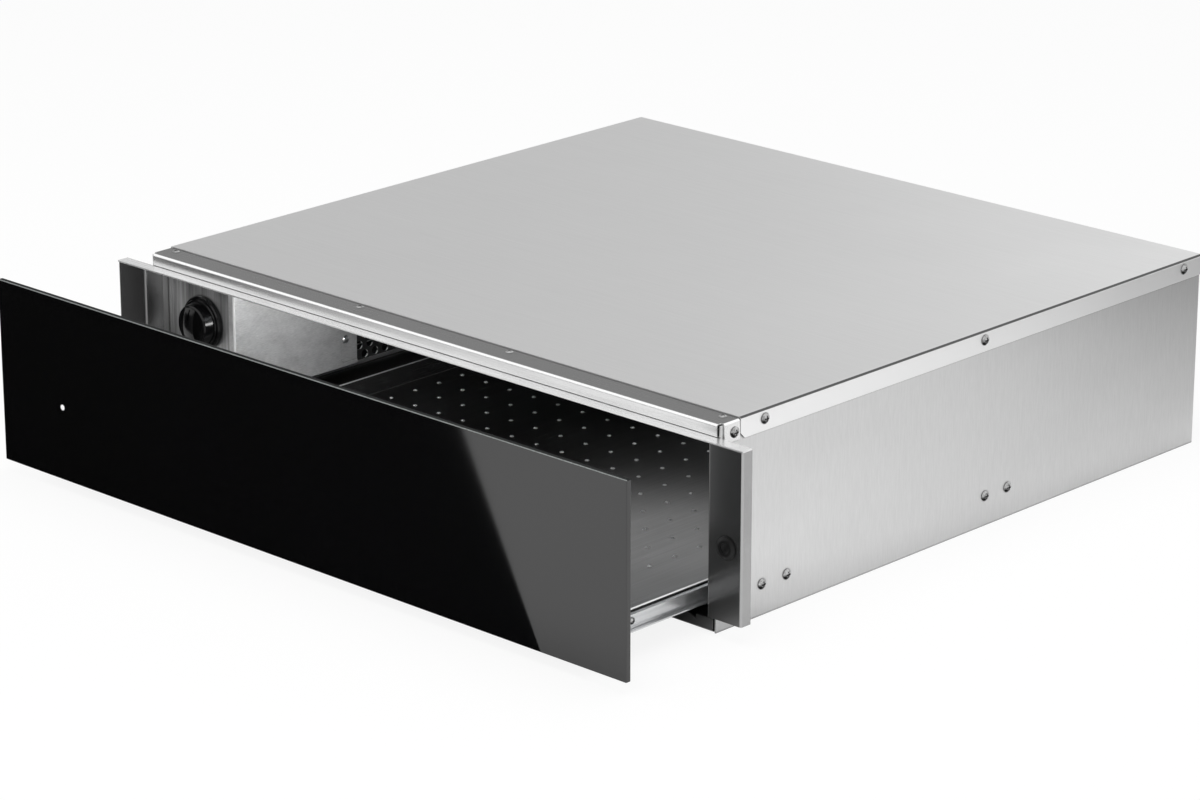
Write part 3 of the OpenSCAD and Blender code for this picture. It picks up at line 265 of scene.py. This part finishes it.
# Hot-dip galvanised sheet: crystals of zinc 6 to 12 mm across, each with its own grey.
galvanisedLooks = {
    "galvanisedSheet": {"pale": "c2c5c8", "deep": "9a9da0", "spangle": (9, 9, 9),
                        "dust": (40, 40, 40), "roughness": (0.28, 0.44)},
}
mouldedLooks = {
    # phenolic resin, compression moulded: deep black with a clear hard gloss
    "mouldedPhenolic": {"pale": "101011", "deep": "060607", "grain": (0.7, 0.7, 0.7),
                        "roughness": (0.12, 0.2), "bump": 0.04, "shader": {"IOR": 1.42}},
    # polyamide 6, injection moulded, spark-eroded grain: charcoal and half matt
    "mouldedPolyamide": {"pale": "1b1b1c", "deep": "121213", "grain": (0.8, 0.8, 0.8),
                         "roughness": (0.4, 0.55), "bump": 0.15, "shader": {"IOR": 1.5}},
    # nitrile rubber, moulded: black, with a dull bloom
    "mouldedRubber": {"pale": "0d0d0d", "deep": "060606", "grain": (1.2, 1.2, 1.2),
                      "roughness": (0.36, 0.5), "bump": 0.2, "shader": {"IOR": 1.4}},
    # natural polyamide, injection moulded: ivory white, slightly waxy
    "naturalPolyamide": {"pale": "e4e2da", "deep": "d2d0c6", "grain": (2, 2, 2),
                         "roughness": (0.38, 0.5), "bump": 0.05, "shader": {"IOR": 1.53}},
    # glass-fibre sleeve, braided: off-white with a coarse weave
    "braidedSleeve": {"pale": "e9e7e0", "deep": "b9b6ac", "grain": (1.2, 2.2, 1.2),
                      "roughness": (0.5, 0.7), "bump": 0.4, "shader": {"IOR": 1.5}},
    # mineral fibre board, pressed: straw yellow and fully matt
    "pressedMineralFibre": {"pale": "cdbd86", "deep": "8f7f4f", "grain": (6, 2.5, 1.5),
                            "roughness": (0.85, 1.0), "bump": 0.8, "shader": {"IOR": 1.5}},
    # closed-cell foam tape: black and dusty
    "foamTape": {"pale": "141414", "deep": "070707", "grain": (0.9, 0.9, 0.9),
                 "roughness": (0.75, 0.95), "bump": 0.5, "shader": {"IOR": 1.5}},
    # polycarbonate, injection moulded: clear with a soft gloss
    "clearPolycarbonate": {"pale": "f2f6f8", "deep": "e6ecef", "grain": (20, 20, 20),
                           "roughness": (0.05, 0.12), "bump": 0.0,
                           "shader": {"IOR": 1.58, "Transmission Weight": 0.8}},
    # toughened glass, enamelled black behind: deep black, mirrors a little more than bare glass
    "enamelledGlass": {"pale": "0b0b0c", "deep": "0a0a0a", "grain": (300, 300, 300),
                       "roughness": (0.05, 0.06), "bump": 0.0, "shader": {"IOR": 1.72}},
    # its upper edge, seamed only: dark
    "seamedGlassEdge": {"pale": "1c1e1e", "deep": "121313", "grain": (2, 0.6, 0.6),
                        "roughness": (0.5, 0.6), "bump": 0.1,
                        "shader": {"IOR": 1.3, "Specular IOR Level": 0.15}},
    # its ground chamfer: a thin pale line
    "groundGlassEdge": {"pale": "8c908f", "deep": "646867", "grain": (2, 0.6, 0.6),
                        "roughness": (0.35, 0.5), "bump": 0.1, "shader": {"IOR": 1.52}},
    # acrylic window, lit from behind: an even white spot
    "litAcrylic": {"pale": "dcdcdc", "deep": "cccccc", "grain": (2, 2, 2),
                   "roughness": (0.3, 0.4), "bump": 0.0,
                   "shader": {"Emission Color": (1, 1, 1, 1), "Emission Strength": 0.35}},
}
materials = {}
for name, look in brushedLooks.items():
    materials[name] = brushedSteel(name, look)
for name, look in galvanisedLooks.items():
    materials[name] = galvanisedSteel(name, look)
for name, look in mouldedLooks.items():
    materials[name] = mouldedPart(name, look)
print("materials made:", len(materials))

# which finish each CAD node wears
nodeFinishes = {
    "mattRolledSteel": ["top_cover"],
    "uprightBrushedSteel": ["side_panel_left", "side_panel_right"],
    "rollFormedSteel": ["front_rail"],
    "halfBrightStripSteel": ["frame_lip"],
    "paintedDarkFrontSteel": ["post_left", "post_right", "base_pan"],
    "scrubbedSteel": ["control_cover"],
    "punchedSteel": ["air_wall"],
    "polishedStripSteel": ["control_box"],
    "drawnSteel": ["tray", "tray_divider"],
    "dimpledSteel": ["floor_plate"],
    "zincPlatedStrip": ["slide_outer_left", "slide_outer_right", "slide_inner_left",
                        "slide_inner_right", "ball_cage_left", "ball_cage_right", "fan_shaft",
                        "knob_spindle", "latch_plunger", "latch_striker", "control_screws"],
    "zincPlatedScrew": ["cover_screws", "runner_screws", "rear_screws", "rail_screws",
                        "tray_screws", "carrier_screws"],
    "galvanisedSheet": ["rear_panel", "ceiling_lining", "duct_end", "fan_motor",
                        "fan_wheel", "front_carrier", "front_brackets"],
    "oxidisedTube": ["ring_heater"],
    "drawnCopper": ["sensor_bulb"],
    "mouldedPolyamide": ["thermal_cutout", "cable_gland", "latch_body"],
    "mouldedPhenolic": ["control_knob"],
    "mouldedRubber": ["front_buffers"],
    "naturalPolyamide": ["thermostat", "terminal_block"],
    "braidedSleeve": ["wire_loom"],
    "pressedMineralFibre": ["insulation_mat"],
    "foamTape": ["bonding_tape"],
    "clearPolycarbonate": ["indicator_lamp", "light_guide"],
    "enamelledGlass": ["glass_front"],
}
for finish, names in nodeFinishes.items():
    for name in names:
        for place in nodes[name].material_slots:
            place.material = materials[finish]
print("CAD nodes dressed")


def startPiece(addPrimitive, name, **values):  # a primitive at its size and place, in edit mode
    bpy.ops.object.select_all(action="DESELECT")
    addPrimitive(**values)
    piece = bpy.context.object
    piece.name = name
    bpy.ops.object.transform_apply(location=True, rotation=True, scale=True)
    return piece


def pickFaces(piece, test):  # selects the faces whose centre and normal pass the test
    bpy.ops.object.mode_set(mode="EDIT")
    bpy.ops.mesh.select_mode(type="FACE")
    bpy.ops.mesh.select_all(action="DESELECT")
    bpy.ops.object.mode_set(mode="OBJECT")
    for polygon in piece.data.polygons:
        polygon.select = test(polygon.center, polygon.normal)
    bpy.ops.object.mode_set(mode="EDIT")


def finishPiece(piece, body, finish, smoothDegrees=35):
    bpy.ops.object.mode_set(mode="OBJECT")
    bpy.ops.object.shade_smooth_by_angle(angle=math.radians(smoothDegrees))
    piece.data.materials.clear()
    piece.data.materials.append(materials[finish])
    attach(piece, body)


glassFront = {  # mm
    "edge": 0.5,  # ground chamfer round the front and back
    "window": 4.0,  # clear spot in the black coating, across
    "windowDepth": 0.6,
    "windowRim": 0.3,
    "windowProud": 0.05,
}
low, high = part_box("glass_front")
glassLow = Vector((low.x, low.y + glassFront["windowProud"] * mm, low.z))
glass = startPiece(bpy.ops.mesh.primitive_cube_add, "glassPanel", size=1,
                   location=(glassLow + high) / 2, scale=high - glassLow)
bpy.ops.object.mode_set(mode="EDIT")
bpy.ops.mesh.select_all(action="SELECT")
bpy.ops.mesh.bevel(offset=glassFront["edge"] * mm, segments=2, profile=0.6, affect="EDGES")
finishPiece(glass, "drawer", "enamelledGlass", smoothDegrees=15)
glass.data.materials.append(materials["groundGlassEdge"])
glass.data.materials.append(materials["seamedGlassEdge"])
for polygon in glass.data.polygons:  # only the upper front chamfer wears the pale ground edge, a painted highlight; the top face is dark, the other chamfers black
    facingUp = polygon.normal.z > 0.2
    polygon.material_index = (1 if polygon.normal.y < -0.1 else 2) if facingUp else 0
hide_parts("glass_front")

lampCentre = (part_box("light_guide")[0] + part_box("light_guide")[1]) / 2
window = startPiece(bpy.ops.mesh.primitive_cylinder_add, "indicatorWindow", vertices=32,
                    radius=glassFront["window"] / 2 * mm,
                    depth=glassFront["windowDepth"] * mm,
                    location=(lampCentre.x, low.y + glassFront["windowDepth"] / 2 * mm,
                              lampCentre.z),
                    rotation=(math.radians(90), 0, 0))
pickFaces(window, lambda centre, normal: normal.y < -0.9)
bpy.ops.mesh.inset(thickness=glassFront["windowRim"] * mm)
finishPiece(window, "drawer", "litAcrylic")
print("glass front made")


# the rubber plug that closes each buffer's bore, in mm: a dish with a low button in it
bufferPlug = {"radius": 3.45, "depth": 1.6, "inset": 7.5, "rim": 1.0, "dish": 0.5,
              "step": 0.6, "button": 0.3}
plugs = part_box("front_buffers")
for name, side in (("bufferPlugLeft", -1), ("bufferPlugRight", 1)):
    plug = startPiece(bpy.ops.mesh.primitive_cylinder_add, name, vertices=32,
                      radius=bufferPlug["radius"] * mm, depth=bufferPlug["depth"] * mm,
                      location=(side * (plugs[1].x - bufferPlug["inset"] * mm),
                                plugs[1].y - bufferPlug["depth"] / 2 * mm,
                                (plugs[0].z + plugs[1].z) / 2),
                      rotation=(math.radians(90), 0, 0))
    pickFaces(plug, lambda centre, normal: normal.y < -0.9)
    bpy.ops.mesh.inset(thickness=bufferPlug["rim"] * mm)
    bpy.ops.transform.translate(value=(0, bufferPlug["dish"] * mm, 0))
    bpy.ops.mesh.inset(thickness=bufferPlug["step"] * mm)
    bpy.ops.transform.translate(value=(0, -bufferPlug["button"] * mm, 0))
    finishPiece(plug, "cabinet", "mouldedRubber")
print("buffer plugs made")

# the camera sees the floor mostly white, and the rest of it holds the shadow
floorLook = {"size": 14.0, "place": (-1.5, 1.5, 0), "colour": "f2f2f2", "cameraShare": 0.88}
bpy.ops.object.select_all(action="DESELECT")
bpy.ops.mesh.primitive_plane_add(size=floorLook["size"], location=floorLook["place"])
floor = bpy.context.object
floor.name = "floor"
floorMaterial, floorTree, floorShader = startMaterial("paleFloor", {
    "Base Color": linearColour(floorLook["colour"]), "Roughness": 0.8,
    "Specular IOR Level": 0.0})
path = addNode(floorTree, "LightPath")
share = addNode(floorTree, "Math", settings={"operation": "MULTIPLY"},
                inputs={1: floorLook["cameraShare"]}, links={0: path.outputs["Is Camera Ray"]})
white = addNode(floorTree, "Emission", inputs={"Color": (1, 1, 1, 1), "Strength": 1.0})
mixed = addNode(floorTree, "MixShader", links={0: share.outputs[0], 1: floorShader.outputs[0],
                                               2: white.outputs[0]})
floorTree.links.new(mixed.outputs[0], floorTree.nodes["Material Output"].inputs["Surface"])
floor.data.materials.append(floorMaterial)

# the camera, metal and glass see white, and the rest is lit by a softer sky
world = bpy.data.worlds.new("studio")
bpy.context.scene.world = world
world.use_nodes = True
worldTree = world.node_tree
worldTree.nodes.clear()
worldPath = addNode(worldTree, "LightPath")
seen = addNode(worldTree, "Math", settings={"operation": "MAXIMUM"},
               links={0: worldPath.outputs["Is Camera Ray"],
                      1: worldPath.outputs["Is Glossy Ray"]})
seenAll = addNode(worldTree, "Math", settings={"operation": "MAXIMUM"},
                  links={0: seen.outputs[0], 1: worldPath.outputs["Is Transmission Ray"]})
lightLevel = addNode(worldTree, "MapRange", inputs={"To Min": 0.5, "To Max": 1.0},
                     links={"Value": seenAll.outputs[0]})
sky = addNode(worldTree, "Background", inputs={"Color": (1, 1, 1, 1)},
              links={"Strength": lightLevel.outputs["Result"]})
addNode(worldTree, "OutputWorld", links={"Surface": sky.outputs[0]})


def addSoftbox(name, box):  # a rectangular lamp, aimed at its target
    data = bpy.data.lights.new(name, "AREA")
    data.shape = "RECTANGLE"
    data.size, data.size_y = box["size"]
    data.energy = box["power"]
    lamp = bpy.data.objects.new(name, data)
    lamp.location = box["place"]
    aim = Vector(box["target"]) - Vector(box["place"])
    lamp.rotation_euler = aim.to_track_quat("-Z", "Y").to_euler()
    bpy.context.scene.collection.objects.link(lamp)
    lamp.visible_camera = False
    lamp.visible_glossy = box.get("inMetal", False)


# the two glows stand inside the cabinet: one for the control cover, one for the drawer's floor
softboxes = {
    "ceilingSoftbox": {"place": (0.2, -0.1, 2.4), "target": (0, 0.15, 0), "size": (2.4, 2.0),
                       "power": 42},
    "frontSoftbox": {"place": (1.3, -2.2, 1.3), "target": (0, 0, 0.05), "size": (1.4, 1.0),
                     "power": 16},
    "cavityGlow": {"place": (-0.11, 0.045, 0.11), "target": (-0.2, 0.06, 0.09),
                   "size": (0.05, 0.02), "power": 0.055, "inMetal": True},
    "floorGlow": {"place": (0.01, 0.225, 0.105), "target": (0.2, 0.01, 0.0175),
                  "size": (0.1, 0.03), "power": 0.022, "inMetal": True},
}
for name, box in softboxes.items():
    addSoftbox(name, box)


def addCard(name, corners, axis, reach, stops):  # a card that only reflections see
    bpy.ops.object.select_all(action="DESELECT")
    bpy.ops.mesh.primitive_plane_add(size=1)
    card = bpy.context.object
    card.name = name
    for vertex, corner in zip(card.data.vertices, corners):
        vertex.co = corner
    cardMaterial, cardTree, _ = startMaterial(name, {
        "Base Color": linearColour("000000"), "Roughness": 1.0, "Specular IOR Level": 0.0})
    place = addNode(cardTree, "TexCoord")
    axes = addNode(cardTree, "SeparateXYZ", links={"Vector": place.outputs["Object"]})
    along = addNode(cardTree, "MapRange", links={"Value": axes.outputs[axis]},
                    inputs={"From Min": reach[0], "From Max": reach[1]})
    shade = addNode(cardTree, "ValToRGB", links={"Fac": along.outputs["Result"]})
    setRamp(shade.color_ramp, stops)
    glow = addNode(cardTree, "Emission", links={"Color": shade.outputs["Color"]})
    cardTree.links.new(glow.outputs[0], cardTree.nodes["Material Output"].inputs["Surface"])
    card.data.materials.append(cardMaterial)
    card.visible_camera = False
    card.visible_diffuse = False
    card.visible_shadow = False
    card.visible_transmission = False


# the dark flag that the left of the glass mirrors, ending along a slanted line
flagLift = 0.5 * mm
addCard("glassFlag", [(-0.335, -0.118, flagLift), (0.2255, -0.118, flagLift),
                      (-0.83, -0.52, flagLift), (-0.2857, -0.52, flagLift)],
        "Y", (-1, 1), [(0.0, "040404"), (1.0, "040404")])
# what the side mirrors, darker to the rear
addCard("sideFlag", [(0.30, 0.12, flagLift), (0.50, 0.12, flagLift),
                     (0.30, 1.1, flagLift), (0.50, 1.1, flagLift)],
        "Y", (0.12, 1.1), [(0.0, "ffffff"), (0.35, "ececec"), (0.8, "a8a8a8")])
# the same for the cover's flange, which looks past that card
addCard("flangeFlag", [(0.50, 0.6, flagLift), (0.85, 0.6, flagLift),
                       (0.50, 1.2, flagLift), (0.85, 1.2, flagLift)],
        "Y", (0.6, 1.0), [(0.0, "f6f6f6"), (0.12, "e0e0e0"), (0.5, "707070")])
# what the cover mirrors, far off on the left, paler to the rear
addCard("coverFlag", [(-3, 0.5, 0.05), (-3, 9, 0.05), (-3, 0.5, 4), (-3, 9, 4)],
        "Y", (2.3, 5.2), [(0.0, "cecece"), (0.45, "d0d0d0"), (1.0, "ffffff")])
# the inside of the front, which the rail mirrors: bright, and dark off its left end
addCard("railCard", [(-0.42, -0.1, 0.02), (0.18, -0.1, 0.02),
                     (-0.42, -0.1, 0.12), (0.18, -0.1, 0.12)],
        "X", (-0.42, 0.18), [(0.15, "101010"), (0.5, "d0d0d0"), (0.8, "ffffff")])

photoView = {"place": (1.97136, -1.89941, 1.02068), "down": 18.746, "turned": 43.551,
             "lens": 129.99}  # degrees and mm
camera = bpy.data.objects.new("photoCamera", bpy.data.cameras.new("photoCamera"))
bpy.context.scene.collection.objects.link(camera)
camera.location = photoView["place"]
camera.rotation_euler = (math.radians(90 - photoView["down"]), 0,
                         math.radians(photoView["turned"]))
camera.data.lens = photoView["lens"]
camera.data.sensor_width = 36
camera.data.clip_start = 0.05
camera.data.clip_end = 60
bpy.context.scene.camera = camera
bpy.context.scene.view_settings.view_transform = "Standard"
print("stage, light and camera set")
